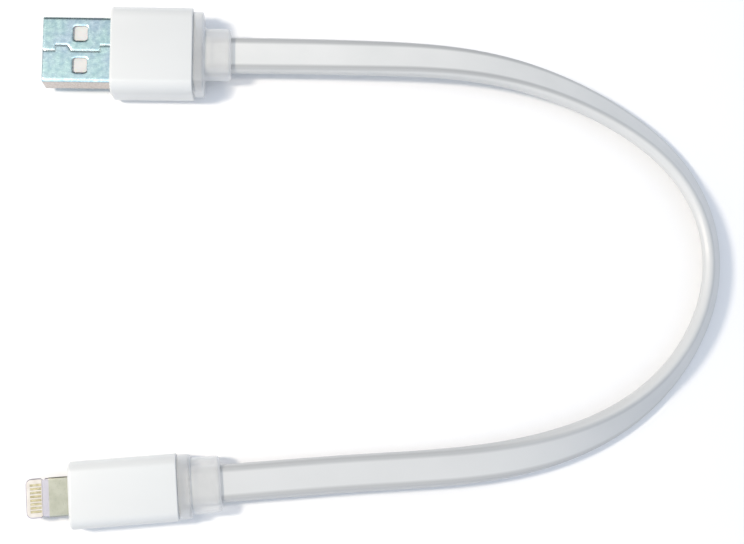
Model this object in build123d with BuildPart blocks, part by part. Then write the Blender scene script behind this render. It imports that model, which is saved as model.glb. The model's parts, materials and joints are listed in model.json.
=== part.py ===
from build123d import *

import os
from math import cos, radians, sin, tan

# Short flat charging cable: a USB-A plug, a 6.5 mm wide ribbon cable bent into a loop, and a flat
# eight-contact phone plug. Millimetres, +Z up. The origin is the centre of the USB shell's mouth,
# +X runs from the mouth along the plug towards the cable, and the loop turns towards -Y.

os.makedirs("parts", exist_ok=True)

# ---------------------------------------------------------------- driving dimensions

CLEARANCE = 0.03  # between pieces that touch in the real plug
SLIP = 0.02  # between a conductor and its insulation

# USB-A plug
USB_SHELL_WIDTH = 12.0
USB_SHELL_HEIGHT = 4.5
USB_SHELL_LENGTH = 18.8
USB_SHELL_CORNER = 0.5
USB_SHELL_REACH = 12.0  # shell standing out of the sleeve
USB_SHELL_LEAD_IN = 0.14
USB_SHEET = 0.3
USB_WINDOW_X = 6.6
USB_WINDOW_Y = 2.93
USB_WINDOW_LENGTH = 2.5
USB_WINDOW_WIDTH = 2.7
USB_WINDOW_CORNER = 0.5
USB_SEAM_SLIT = 0.08
USB_SEAM_Y = (-0.3, 0.75)  # near and far side of the interlocking seam
USB_SEAM_X = (2.25, 4.4, 5.0, 10.1)  # where the seam steps across
USB_SLEEVE_WIDTH = 16.1
USB_SLEEVE_HEIGHT = 7.9
USB_SLEEVE_LENGTH = 14.5
USB_SLEEVE_CORNER = 2.4
USB_SLEEVE_WALL = 1.0
USB_SLEEVE_RIMS = (0.5, 0.25)  # rounding of the front and back rim
USB_COLLAR_WIDTH = 14.9
USB_COLLAR_HEIGHT = 7.0
USB_COLLAR_LENGTH = 1.9
USB_COLLAR_CORNER = 2.1
USB_NECK_WIDTH = 9.0
USB_NECK_HEIGHT = 5.2
USB_NECK_LENGTH = 4.8
USB_NECK_CORNER = 1.6
USB_NECK_ROUNDING = 0.7
USB_MOULD_END = 25.6
USB_WIRE_CHAMBER = (9.0, 2.4)
USB_CONTACT_WIDTH = 1.0
USB_CONTACT_SHEET = 0.25
USB_CONTACT_UNDERSIDE = 0.08  # height of the contacts' lower face above the shell's mid-plane
USB_CONTACT_END = 20.3
USB_POWER_SIDES = (3.5, -3.5)
USB_DATA_SIDES = (1.0, -1.0)
USB_POWER_FRONT = 1.3
USB_DATA_FRONT = 2.3
USB_CARRIER_FRONT = 0.5
USB_CARRIER_BLOCK = (12.4, 17.8)  # the full-height back of the carrier
USB_CARRIER_UNDERSIDE = 0.06  # height of the tongue's lower face above the mid-plane
USB_SOLDER = (19.3, 20.2)
USB_INSULATION_START = 21.0

# Phone plug, in its own frame: x from the tip of the tab towards the cable
PHONE_TIP = (-0.8, -78.7)
PHONE_TURN = 4.0  # degrees from +X
TAB_WIDTH = 6.7
TAB_THICKNESS = 1.5
TAB_SHEET = 0.2
TAB_REACH = 7.35  # tab standing out of the sleeve
TAB_TIP_LENGTH = 2.75  # plastic tip ahead of the steel
TAB_BACK = 8.8
DETENT_X = 2.9
DETENT_RADIUS = 0.55
DETENT_DEPTH = 0.35
TAB_CORNER = 0.3
TAB_TIP_CORNER = 1.0
TAB_TIP_ROUNDING = 0.25
TAB_LIP = (1.05, 0.06)  # length and depth of the recessed front of the steel
INSERT_BACK = 8.3
PHONE_CONTACTS = 8
PHONE_CONTACT_PITCH = 0.64
PHONE_CONTACT_WIDTH = 0.38
PAD_FRONT = 0.75
PAD_BACK = 2.6
PAD_SHEET = 0.15
TAIL_FRONT = 2.3
TAIL_BACK = 9.6
TAIL_SHEET = 0.12
PHONE_SLEEVE_WIDTH = 11.5
PHONE_SLEEVE_HEIGHT = 5.8
PHONE_SLEEVE_LENGTH = 18.35
PHONE_SLEEVE_CORNER = 2.0
PHONE_SLEEVE_WALL = 0.8
PHONE_SLEEVE_RIMS = (0.6, 0.25)
PHONE_COLLAR_WIDTH = 11.0
PHONE_COLLAR_HEIGHT = 5.2
PHONE_COLLAR_LENGTH = 2.2
PHONE_COLLAR_CORNER = 1.8
PHONE_NECK_WIDTH = 9.7
PHONE_NECK_HEIGHT = 4.4
PHONE_NECK_LENGTH = 5.1
PHONE_NECK_CORNER = 1.4
PHONE_NECK_ROUNDING = 0.6
PHONE_SPIGOT_START = 22.0
PHONE_WIRE_ROOM = (6.2, 2.2)
BOARD_LENGTH = 8.2
BOARD_WIDTH = 6.0
BOARD_THICKNESS = 0.6
BOARD_X = 8.4
CHIP = (11.2, 3.0, 0.8)  # front, side length and height
CHIP_CHAMFER = 0.1
SMALL_PART = (0.5, 1.0)  # capacitors and resistors: along and across the plug
CAPACITOR_HEIGHT = 0.5
TOP_CAPACITORS = (10.1, 2.3)  # front, and distance to each side of the middle
BOTTOM_CAPACITORS = (11.0, 1.6)
RESISTORS = (13.0, 1.6)
RESISTOR_HEIGHT = 0.35
PHONE_SOLDER = (15.2, 16.1)
PHONE_SOLDER_HEIGHT = 0.65
PHONE_INSULATION_START = 16.9
CAN_SHEET = 0.2
CAN_END = 20.0

# Ribbon cable
RIBBON_WIDTH = 6.5
RIBBON_THICKNESS = 2.2
RIBBON_CORNER = 0.9
TUNNEL_WIDTH = 4.9
TUNNEL_HEIGHT = 1.12
WIRE_SIDES = (-1.8, -0.6, 0.6, 1.8)
WIRE_RADIUS = 0.48
CONDUCTOR_RADIUS = 0.24
ROOM_CORNER = 0.5  # corners of the hollows round the wires
SOLDER_CORNER = 0.25
SOLDER_GRIP = 0.2  # conductor standing out past its solder
TAIL_SETTLE = 0.6  # straight wire ahead of the jacket's end
STRAIGHT_LEAD = 10.0  # straight cable beyond each strain relief
JACKET_GRIP = 5.0  # jacket held inside each strain relief
PEAK_LEAN = 62.0  # the ribbon's inner edge is lifted by this angle half way round the loop
LEAN_START = 2.0
LEAN_PEAK = 119.0
LEAN_END = 180.0

# Joints, as distances along the cable from the USB strain relief
PLUG_BEND = 9.0  # up-and-down bend beside each plug, counted from its strain relief
PLUG_TWIST = 24.0  # twist about the cable's own axis, counted from its strain relief
PLUG_BEND_RANGE = 35.0
LOOP_HINGES = (47.0, 73.0, 88.0, 98.5, 108.5, 121.5, 136.5, 155.0)
LOOP_HINGE_RANGE = 22.0
TWIST_GAP = 0.3
GAP_MARGIN = 0.12
SECTIONS_PER_LENGTH = 4

# ---------------------------------------------------------------- frames of the two plugs

usb = Plane.XY
usb_sleeve_end = USB_SHELL_REACH + USB_SLEEVE_LENGTH
usb_collar_end = usb_sleeve_end + USB_COLLAR_LENGTH
usb_end = usb_collar_end + USB_NECK_LENGTH
table = -USB_SLEEVE_HEIGHT / 2

phone = Plane(
    origin=(PHONE_TIP[0], PHONE_TIP[1], table + PHONE_SLEEVE_HEIGHT / 2),
    x_dir=(cos(radians(PHONE_TURN)), sin(radians(PHONE_TURN)), 0),
    z_dir=(0, 0, 1),
)
phone_axis = Axis(phone.origin, phone.x_dir)
phone_sleeve_end = TAB_REACH + PHONE_SLEEVE_LENGTH
phone_collar_end = phone_sleeve_end + PHONE_COLLAR_LENGTH
phone_end = phone_collar_end + PHONE_NECK_LENGTH

# ---------------------------------------------------------------- centreline of the cable

usb_lead = Vector(usb_end + STRAIGHT_LEAD, 0, 0)
phone_lead = phone.from_local_coords(Vector(phone_end + STRAIGHT_LEAD, 0, 0))
drop = phone.origin.Z
with BuildLine() as centreline:
    Line((usb_end, 0, 0), usb_lead)
    Spline(
        usb_lead,
        (57.5, -0.1, 0.07 * drop),
        (81.7, -2.0, 0.2 * drop),
        (104.2, -11.1, 0.36 * drop),
        (118.3, -26.3, 0.47 * drop),
        (119.9, -42.0, 0.56 * drop),
        (112.2, -57.3, 0.65 * drop),
        (95.3, -69.1, 0.77 * drop),
        (71.1, -73.8, 0.91 * drop),
        phone_lead,
        tangents=[(1, 0, 0), phone.x_dir * -1],
    )
    Line(phone_lead, phone.from_local_coords(Vector(phone_end, 0, 0)))

cable = centreline.wires()[0]
cable_length = cable.length


def smoothstep(t):
    """Smooth rise from 0 to 1 as t goes from 0 to 1."""
    t = min(max(t, 0.0), 1.0)
    return t * t * (3 - 2 * t)


def lean_at(distance):
    """Angle by which the ribbon is turned up about its own axis, in degrees."""
    rise = smoothstep((distance - LEAN_START) / (LEAN_PEAK - LEAN_START))
    fall = smoothstep((LEAN_END - distance) / (LEAN_END - LEAN_PEAK))
    return PEAK_LEAN * rise * fall


def cable_plane(distance):
    """Plane across the cable: local X lies along the ribbon's width, towards the inner edge."""
    point = cable.position_at(distance, position_mode=PositionMode.LENGTH)
    heading = cable.tangent_at(distance, position_mode=PositionMode.LENGTH)
    inward = heading.cross(Vector(0, 0, 1)).normalized()
    upward = inward.cross(heading)
    lean = radians(lean_at(distance))
    return Plane(
        origin=point,
        x_dir=inward * cos(lean) + upward * sin(lean),
        z_dir=heading,
    )


def hinge_gap(distance, angle):
    """Gap that lets two lengths turn by this angle about a vertical axis without touching."""
    lean = radians(lean_at(distance))
    half_span = (RIBBON_WIDTH * cos(lean) + RIBBON_THICKNESS * sin(lean)) / 2
    return 2 * half_span * tan(radians(angle / 2)) + GAP_MARGIN


# ---------------------------------------------------------------- shared building steps


def across(plug, distance):
    """Plane across a plug: local X is the plug's side direction, local Y is up."""
    origin = plug.from_local_coords(Vector(distance, 0, 0))
    return Plane(origin=origin, x_dir=plug.y_dir, z_dir=plug.x_dir)


def bar(plug, start, end, size, corner=0.0, side=0.0, lift=0.0, mode=Mode.ADD):
    """Straight bar of size (width, height) along a plug, added to or cut from the open part."""
    with BuildSketch(across(plug, start)) as profile:
        with Locations((side, lift)):
            if corner > 0:
                RectangleRounded(*size, corner)
            else:
                Rectangle(*size)
    extrude(profile.sketch, amount=end - start, mode=mode)


def rod(plug, start, end, radius, side=0.0, lift=0.0, mode=Mode.ADD):
    """Round bar along a plug, added to or cut from the open part."""
    with BuildSketch(across(plug, start)) as profile:
        with Locations((side, lift)):
            Circle(radius)
    extrude(profile.sketch, amount=end - start, mode=mode)


def jacket_section(distance):
    """The jacket's section: a rounded ribbon with one flat tunnel for the wires."""
    with BuildSketch(cable_plane(distance)) as section:
        RectangleRounded(RIBBON_WIDTH, RIBBON_THICKNESS, RIBBON_CORNER)
        RectangleRounded(
            TUNNEL_WIDTH, TUNNEL_HEIGHT, TUNNEL_HEIGHT / 2 - SLIP, mode=Mode.SUBTRACT
        )
    return section.sketch


def jacket_bar(plug, start, end):
    """Straight end of the jacket along a plug, into the open part."""
    tunnel = (TUNNEL_WIDTH, TUNNEL_HEIGHT)
    bar(plug, start, end, (RIBBON_WIDTH, RIBBON_THICKNESS), RIBBON_CORNER)
    bar(plug, start, end, tunnel, TUNNEL_HEIGHT / 2 - SLIP, mode=Mode.SUBTRACT)


def wire_section(distance, side):
    """Ring of insulation around one conductor."""
    with BuildSketch(cable_plane(distance)) as section:
        with Locations((side, 0)):
            Circle(WIRE_RADIUS)
            Circle(CONDUCTOR_RADIUS + SLIP, mode=Mode.SUBTRACT)
    return section.sketch


def conductor_section(distance, side):
    """Round section of one conductor."""
    with BuildSketch(cable_plane(distance)) as section:
        with Locations((side, 0)):
            Circle(CONDUCTOR_RADIUS)
    return section.sketch


def tail_path(plug, ends, sides):
    """Wire path in a plug: a smooth shift from the solder joint to the ribbon, then straight."""
    solder_x, merge_x, finish_x = ends
    solder_side, solder_lift, ribbon_side = sides
    start = plug.from_local_coords(Vector(solder_x, solder_side, solder_lift))
    merge = plug.from_local_coords(Vector(merge_x, ribbon_side, 0))
    finish = plug.from_local_coords(Vector(finish_x, ribbon_side, 0))
    with BuildLine() as path:
        Spline(start, merge, tangents=[plug.x_dir, plug.x_dir])
        Line(merge, finish)
    return path.line


def sweep_ring(path, radius, bore=0.0):
    """Sweep a round section along a path, into the open part."""
    plane = Plane(origin=path @ 0, z_dir=path % 0)
    with BuildSketch(plane) as section:
        Circle(radius)
        if bore > 0:
            Circle(bore, mode=Mode.SUBTRACT)
    sweep(section.sketch, path=path)


def save(builder, label):
    """Label a finished piece and write it to its own STEP file."""
    builder.part.label = label
    export_step(builder.part, f"parts/{label}.step")


# ---------------------------------------------------------------- lengths of the ribbon cable

bend_half_gap = RIBBON_THICKNESS / 2 * tan(radians(PLUG_BEND_RANGE / 2)) + GAP_MARGIN / 2
breaks = [(PLUG_BEND, bend_half_gap), (PLUG_TWIST, TWIST_GAP / 2)]
breaks += [(s, hinge_gap(s, LOOP_HINGE_RANGE) / 2) for s in LOOP_HINGES]
breaks += [
    (cable_length - PLUG_TWIST, TWIST_GAP / 2),
    (cable_length - PLUG_BEND, bend_half_gap),
]

for number, (first, second) in enumerate(zip(breaks, breaks[1:]), start=1):
    start = first[0] + first[1]
    end = second[0] - second[1]
    step = (end - start) / SECTIONS_PER_LENGTH
    stations = [start + step * k for k in range(SECTIONS_PER_LENGTH + 1)]

    with BuildPart() as cable_jacket:
        loft(sections=[jacket_section(s) for s in stations])
    save(cable_jacket, f"cable_jacket_{number:02d}")

    with BuildPart() as cable_wires:
        for side in WIRE_SIDES:
            loft(sections=[wire_section(s, side) for s in stations])
    save(cable_wires, f"cable_wires_{number:02d}")

    with BuildPart() as cable_conductors:
        for side in WIRE_SIDES:
            loft(sections=[conductor_section(s, side) for s in stations])
    save(cable_conductors, f"cable_conductors_{number:02d}")

# ---------------------------------------------------------------- USB plug: shell and contacts

with BuildPart() as usb_shell:
    bar(usb, 0, USB_SHELL_LENGTH, (USB_SHELL_WIDTH, USB_SHELL_HEIGHT), USB_SHELL_CORNER)
    lead_in = usb_shell.faces().sort_by(Axis.X)[0].outer_wire().edges()
    fillet(lead_in, USB_SHELL_LEAD_IN)
    bar(
        usb,
        0,
        USB_SHELL_LENGTH,
        (USB_SHELL_WIDTH - 2 * USB_SHEET, USB_SHELL_HEIGHT - 2 * USB_SHEET),
        USB_SHELL_CORNER - USB_SHEET,
        mode=Mode.SUBTRACT,
    )
    # Latch windows, two in the top and two in the bottom
    with BuildSketch(Plane.XY.offset(-USB_SHELL_HEIGHT / 2)):
        with Locations((USB_WINDOW_X, USB_WINDOW_Y), (USB_WINDOW_X, -USB_WINDOW_Y)):
            RectangleRounded(USB_WINDOW_LENGTH, USB_WINDOW_WIDTH, USB_WINDOW_CORNER)
    extrude(amount=USB_SHELL_HEIGHT, mode=Mode.SUBTRACT)
    # Interlocking seam where the folded sheet meets along the top
    near, far = USB_SEAM_Y
    step_out, slope_start, slope_end, step_back = USB_SEAM_X
    with BuildSketch(Plane.XY.offset(USB_SHELL_HEIGHT / 2)):
        with BuildLine():
            Polyline(
                (0, near),
                (step_out, near),
                (step_out, far),
                (slope_start, far),
                (slope_end, near),
                (step_back, near),
                (step_back, far),
                (USB_SHELL_LENGTH, far),
            )
        trace(line_width=USB_SEAM_SLIT)
    extrude(amount=-USB_SHEET, mode=Mode.SUBTRACT)
save(usb_shell, "usb_shell")

carrier_width = USB_SHELL_WIDTH - 2 * USB_SHEET - 2 * CLEARANCE
carrier_top = USB_SHELL_HEIGHT / 2 - USB_SHEET - CLEARANCE
carrier_block, carrier_back = USB_CARRIER_BLOCK
slot_size = (USB_CONTACT_WIDTH + 2 * CLEARANCE, USB_CONTACT_SHEET + 2 * CLEARANCE)
contact_lift = USB_CONTACT_UNDERSIDE + USB_CONTACT_SHEET / 2
carrier_corner = 0.25
tongue_chamfer = 0.2
with BuildPart() as usb_contact_carrier:
    tongue = (carrier_width, carrier_top - USB_CARRIER_UNDERSIDE)
    tongue_lift = (carrier_top + USB_CARRIER_UNDERSIDE) / 2
    bar(usb, USB_CARRIER_FRONT, carrier_back, tongue, carrier_corner, lift=tongue_lift)
    chamfer(usb_contact_carrier.faces().sort_by(Axis.X)[0].edges(), tongue_chamfer)
    bar(usb, carrier_block, carrier_back, (carrier_width, 2 * carrier_top), carrier_corner)
    slots = [(side, USB_POWER_FRONT) for side in USB_POWER_SIDES]
    slots += [(side, USB_DATA_FRONT) for side in USB_DATA_SIDES]
    for side, front in slots:
        bar(usb, front, carrier_back, slot_size, 0, side, contact_lift, Mode.SUBTRACT)
save(usb_contact_carrier, "usb_contact_carrier")

contact_size = (USB_CONTACT_WIDTH, USB_CONTACT_SHEET)
with BuildPart() as usb_power_contacts:
    front = USB_POWER_FRONT + CLEARANCE
    for side in USB_POWER_SIDES:
        bar(usb, front, USB_CONTACT_END, contact_size, 0, side, contact_lift)
save(usb_power_contacts, "usb_power_contacts")

with BuildPart() as usb_data_contacts:
    front = USB_DATA_FRONT + CLEARANCE
    for side in USB_DATA_SIDES:
        bar(usb, front, USB_CONTACT_END, contact_size, 0, side, contact_lift)
save(usb_data_contacts, "usb_data_contacts")

# ---------------------------------------------------------------- USB plug: wires and solder

usb_wire_lift = USB_CONTACT_UNDERSIDE - SLIP - CONDUCTOR_RADIUS
usb_solder_sides = (
    USB_POWER_SIDES[0],
    USB_DATA_SIDES[0],
    USB_DATA_SIDES[1],
    USB_POWER_SIDES[1],
)
usb_wire_merge = usb_end - JACKET_GRIP - TAIL_SETTLE
usb_tail_end = usb_end + PLUG_BEND - bend_half_gap
solder_start, solder_end = USB_SOLDER
usb_tail_stations = (USB_INSULATION_START, usb_wire_merge, usb_tail_end)
usb_solder_width = 0.9
solder_below_wire = 0.5
conductor_bore = CONDUCTOR_RADIUS + SLIP

with BuildPart() as usb_solder_joints:
    for side in usb_solder_sides:
        top = USB_CONTACT_UNDERSIDE - CLEARANCE
        bottom = usb_wire_lift - solder_below_wire
        size = (usb_solder_width, top - bottom)
        bar(usb, solder_start, solder_end, size, SOLDER_CORNER, side, (top + bottom) / 2)
        rod(usb, solder_start, solder_end, conductor_bore, side, usb_wire_lift, Mode.SUBTRACT)
save(usb_solder_joints, "usb_solder_joints")

usb_ribbon_sides = [-side for side in WIRE_SIDES]
with BuildPart() as usb_wire_tails:
    for solder_side, ribbon_side in zip(usb_solder_sides, usb_ribbon_sides):
        path = tail_path(usb, usb_tail_stations, (solder_side, usb_wire_lift, ribbon_side))
        sweep_ring(path, WIRE_RADIUS, conductor_bore)
save(usb_wire_tails, "usb_wire_tails")

with BuildPart() as usb_conductor_tails:
    for solder_side, ribbon_side in zip(usb_solder_sides, usb_ribbon_sides):
        bare = (solder_start - SOLDER_GRIP, USB_INSULATION_START)
        rod(usb, *bare, CONDUCTOR_RADIUS, solder_side, usb_wire_lift)
        path = tail_path(usb, usb_tail_stations, (solder_side, usb_wire_lift, ribbon_side))
        sweep_ring(path, CONDUCTOR_RADIUS)
save(usb_conductor_tails, "usb_conductor_tails")

with BuildPart() as usb_jacket_end:
    jacket_bar(usb, usb_end - JACKET_GRIP, usb_tail_end)
save(usb_jacket_end, "usb_jacket_end")

# ---------------------------------------------------------------- USB plug: mould, sleeve, relief

usb_cavity = (USB_SLEEVE_WIDTH - 2 * USB_SLEEVE_WALL, USB_SLEEVE_HEIGHT - 2 * USB_SLEEVE_WALL)
usb_cavity_corner = USB_SLEEVE_CORNER - USB_SLEEVE_WALL
usb_cavity_start = USB_SHELL_REACH + USB_SLEEVE_WALL
usb_core = (usb_cavity[0] - 2 * CLEARANCE, usb_cavity[1] - 2 * CLEARANCE)
shell_pocket = (USB_SHELL_WIDTH + 2 * CLEARANCE, USB_SHELL_HEIGHT + 2 * CLEARANCE)

with BuildPart() as usb_inner_mould:
    bar(usb, usb_cavity_start + CLEARANCE, USB_MOULD_END, usb_core, usb_cavity_corner)
    pocket_end = USB_SHELL_LENGTH + CLEARANCE
    bar(usb, usb_cavity_start, pocket_end, shell_pocket, USB_SHELL_CORNER, mode=Mode.SUBTRACT)
    bar(usb, pocket_end, USB_MOULD_END, USB_WIRE_CHAMBER, ROOM_CORNER, mode=Mode.SUBTRACT)
save(usb_inner_mould, "usb_inner_mould")

with BuildPart() as usb_sleeve:
    usb_outline = (USB_SLEEVE_WIDTH, USB_SLEEVE_HEIGHT)
    bar(usb, USB_SHELL_REACH, usb_sleeve_end, usb_outline, USB_SLEEVE_CORNER)
    fillet(usb_sleeve.faces().sort_by(Axis.X)[0].outer_wire().edges(), USB_SLEEVE_RIMS[0])
    fillet(usb_sleeve.faces().sort_by(Axis.X)[-1].outer_wire().edges(), USB_SLEEVE_RIMS[1])
    bar(usb, USB_SHELL_REACH, usb_sleeve_end, shell_pocket, USB_SHELL_CORNER, mode=Mode.SUBTRACT)
    bar(usb, usb_cavity_start, usb_sleeve_end, usb_cavity, usb_cavity_corner, mode=Mode.SUBTRACT)
save(usb_sleeve, "usb_sleeve")

ribbon_pocket = (RIBBON_WIDTH + 2 * CLEARANCE, RIBBON_THICKNESS + 2 * CLEARANCE)
neck_root = 0.5  # the neck starts this far inside the collar
with BuildPart() as usb_strain_relief:
    usb_collar = (USB_COLLAR_WIDTH, USB_COLLAR_HEIGHT)
    usb_neck = (USB_NECK_WIDTH, USB_NECK_HEIGHT)
    collar_start = usb_sleeve_end + CLEARANCE
    bar(usb, usb_collar_end - neck_root, usb_end, usb_neck, USB_NECK_CORNER)
    fillet(usb_strain_relief.faces().sort_by(Axis.X)[-1].edges(), USB_NECK_ROUNDING)
    bar(usb, collar_start, usb_collar_end, usb_collar, USB_COLLAR_CORNER)
    bar(usb, USB_MOULD_END + CLEARANCE, collar_start, usb_core, usb_cavity_corner)
    room_end = usb_end - JACKET_GRIP - CLEARANCE
    bar(usb, USB_MOULD_END, room_end, USB_WIRE_CHAMBER, ROOM_CORNER, mode=Mode.SUBTRACT)
    bar(usb, room_end, usb_end, ribbon_pocket, RIBBON_CORNER, mode=Mode.SUBTRACT)
save(usb_strain_relief, "usb_strain_relief")

# ---------------------------------------------------------------- phone plug: tab and contacts

tab_bore = (TAB_WIDTH - 2 * TAB_SHEET, TAB_THICKNESS - 2 * TAB_SHEET)
lip_length, lip_step = TAB_LIP
tail_bottom = BOARD_THICKNESS / 2 + SLIP
half_row = PHONE_CONTACT_PITCH * (PHONE_CONTACTS - 1) / 2
contact_row = [k * PHONE_CONTACT_PITCH - half_row for k in range(PHONE_CONTACTS)]


def cut_detents():
    """Cut the two side notches that the socket's springs click into."""
    reach = TAB_WIDTH / 2 + DETENT_RADIUS - DETENT_DEPTH
    with BuildSketch(phone.offset(-TAB_THICKNESS / 2)) as notches:
        with Locations((DETENT_X, reach), (DETENT_X, -reach)):
            Circle(DETENT_RADIUS)
    extrude(notches.sketch, amount=TAB_THICKNESS, mode=Mode.SUBTRACT)


def contact_steps(facing, side, grow=0.0, mode=Mode.ADD):
    """One contact: a pad in the tab's face, a riser down from it and a tail to the board."""
    width = PHONE_CONTACT_WIDTH + 2 * grow
    surface = TAB_THICKNESS / 2
    pad_lift = facing * (surface - PAD_SHEET / 2)
    tail_lift = facing * (tail_bottom + TAIL_SHEET / 2)
    riser_height = surface - tail_bottom
    riser_lift = facing * (tail_bottom + riser_height / 2)
    pad = (width, PAD_SHEET + 2 * grow)
    tail = (width, TAIL_SHEET + 2 * grow)
    riser = (width, riser_height + 2 * grow)
    bar(phone, PAD_FRONT - grow, PAD_BACK + grow, pad, 0, side, pad_lift, mode)
    bar(phone, TAIL_FRONT - grow, PAD_BACK + grow, riser, 0, side, riser_lift, mode)
    bar(phone, TAIL_FRONT - grow, TAIL_BACK + grow, tail, 0, side, tail_lift, mode)


with BuildPart() as phone_contact_insert:
    with BuildSketch(phone.offset(-TAB_THICKNESS / 2)) as tip:
        with Locations((TAB_TIP_LENGTH / 2, 0)):
            Rectangle(TAB_TIP_LENGTH, TAB_WIDTH)
        front_corners = tip.vertices().sort_by(Axis.X)[:2]
        fillet(front_corners, TAB_TIP_CORNER)
    extrude(amount=TAB_THICKNESS)
    for flat_face in phone_contact_insert.faces().filter_by(Axis.Z):
        rim_without_back = flat_face.edges().sort_by(phone_axis)[:-1]
        fillet(rim_without_back, TAB_TIP_ROUNDING)
    core = (tab_bore[0] - 2 * CLEARANCE, tab_bore[1] - 2 * CLEARANCE)
    core_overlap = 0.1
    bar(phone, TAB_TIP_LENGTH - core_overlap, INSERT_BACK, core)
    cut_detents()
    for side in contact_row:
        contact_steps(1, side, SLIP, Mode.SUBTRACT)
        contact_steps(-1, side, SLIP, Mode.SUBTRACT)
save(phone_contact_insert, "phone_contact_insert")

with BuildPart() as phone_top_contacts:
    for side in contact_row:
        contact_steps(1, side)
save(phone_top_contacts, "phone_top_contacts")

with BuildPart() as phone_bottom_contacts:
    for side in contact_row:
        contact_steps(-1, side)
save(phone_bottom_contacts, "phone_bottom_contacts")

with BuildPart() as phone_tab_shell:
    lip_start = TAB_TIP_LENGTH + CLEARANCE
    lip_end = lip_start + lip_length
    lip = (TAB_WIDTH - 2 * lip_step, TAB_THICKNESS - 2 * lip_step)
    bar(phone, lip_start, lip_end, lip, TAB_CORNER - lip_step)
    bar(phone, lip_end, TAB_BACK, (TAB_WIDTH, TAB_THICKNESS), TAB_CORNER)
    bar(phone, lip_start, TAB_BACK, tab_bore, TAB_CORNER - TAB_SHEET, mode=Mode.SUBTRACT)
    cut_detents()
save(phone_tab_shell, "phone_tab_shell")

# ---------------------------------------------------------------- phone plug: circuit board

board_face = BOARD_THICKNESS / 2 + SLIP
with BuildPart() as phone_circuit_board:
    bar(phone, BOARD_X, BOARD_X + BOARD_LENGTH, (BOARD_WIDTH, BOARD_THICKNESS))
save(phone_circuit_board, "phone_circuit_board")

with BuildPart() as phone_control_chip:
    chip_front, chip_side, chip_height = CHIP
    chip_size = (chip_side, chip_height)
    bar(phone, chip_front, chip_front + chip_side, chip_size, lift=board_face + chip_height / 2)
    chamfer(phone_control_chip.faces().sort_by(Axis.Z)[-1].edges(), CHIP_CHAMFER)
save(phone_control_chip, "phone_control_chip")



def board_pair(place, height, facing):
    """Two small parts side by side on the board's top (facing 1) or bottom (-1)."""
    front, offset = place
    length, width = SMALL_PART
    lift = facing * (board_face + height / 2)
    for side in (offset, -offset):
        bar(phone, front, front + length, (width, height), 0, side, lift)


with BuildPart() as phone_capacitors:
    board_pair(TOP_CAPACITORS, CAPACITOR_HEIGHT, 1)
    board_pair(BOTTOM_CAPACITORS, CAPACITOR_HEIGHT, -1)
save(phone_capacitors, "phone_capacitors")

with BuildPart() as phone_resistors:
    board_pair(RESISTORS, RESISTOR_HEIGHT, -1)
save(phone_resistors, "phone_resistors")

phone_wire_lift = board_face + 0.3  # height of the wires above the board's middle
phone_tail_end = phone_end + PLUG_BEND - bend_half_gap
phone_wire_merge = phone_end - JACKET_GRIP - TAIL_SETTLE
phone_tail_stations = (PHONE_INSULATION_START, phone_wire_merge, phone_tail_end)
phone_solder_width = 0.85

with BuildPart() as phone_solder_joints:
    size = (phone_solder_width, PHONE_SOLDER_HEIGHT)
    lift = board_face + PHONE_SOLDER_HEIGHT / 2
    for side in WIRE_SIDES:
        bar(phone, *PHONE_SOLDER, size, SOLDER_CORNER, side, lift)
        rod(phone, *PHONE_SOLDER, conductor_bore, side, phone_wire_lift, Mode.SUBTRACT)
save(phone_solder_joints, "phone_solder_joints")

# ---------------------------------------------------------------- phone plug: wires and jacket

with BuildPart() as phone_wire_tails:
    for side in WIRE_SIDES:
        path = tail_path(phone, phone_tail_stations, (side, phone_wire_lift, side))
        sweep_ring(path, WIRE_RADIUS, conductor_bore)
save(phone_wire_tails, "phone_wire_tails")

with BuildPart() as phone_conductor_tails:
    for side in WIRE_SIDES:
        bare = (PHONE_SOLDER[0] - SOLDER_GRIP, PHONE_INSULATION_START)
        rod(phone, *bare, CONDUCTOR_RADIUS, side, phone_wire_lift)
        path = tail_path(phone, phone_tail_stations, (side, phone_wire_lift, side))
        sweep_ring(path, CONDUCTOR_RADIUS)
save(phone_conductor_tails, "phone_conductor_tails")

with BuildPart() as phone_jacket_end:
    jacket_bar(phone, phone_end - JACKET_GRIP, phone_tail_end)
save(phone_jacket_end, "phone_jacket_end")

# ---------------------------------------------------------------- phone plug: can, sleeve, relief

phone_cavity = (
    PHONE_SLEEVE_WIDTH - 2 * PHONE_SLEEVE_WALL,
    PHONE_SLEEVE_HEIGHT - 2 * PHONE_SLEEVE_WALL,
)
phone_cavity_corner = PHONE_SLEEVE_CORNER - PHONE_SLEEVE_WALL
phone_cavity_start = TAB_REACH + PHONE_SLEEVE_WALL
tab_opening = (TAB_WIDTH + 2 * CLEARANCE, TAB_THICKNESS + 2 * CLEARANCE)
phone_core = (phone_cavity[0] - 2 * CLEARANCE, phone_cavity[1] - 2 * CLEARANCE)
can_start = phone_cavity_start + CLEARANCE

with BuildPart() as phone_shield_can:
    can_inner = (phone_core[0] - 2 * CAN_SHEET, phone_core[1] - 2 * CAN_SHEET)
    inner_corner = phone_cavity_corner - CAN_SHEET
    bar(phone, can_start, CAN_END, phone_core, phone_cavity_corner)
    bar(phone, can_start + CAN_SHEET, CAN_END, can_inner, inner_corner, mode=Mode.SUBTRACT)
    bar(phone, can_start, CAN_END, tab_opening, TAB_CORNER, mode=Mode.SUBTRACT)
save(phone_shield_can, "phone_shield_can")

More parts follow.
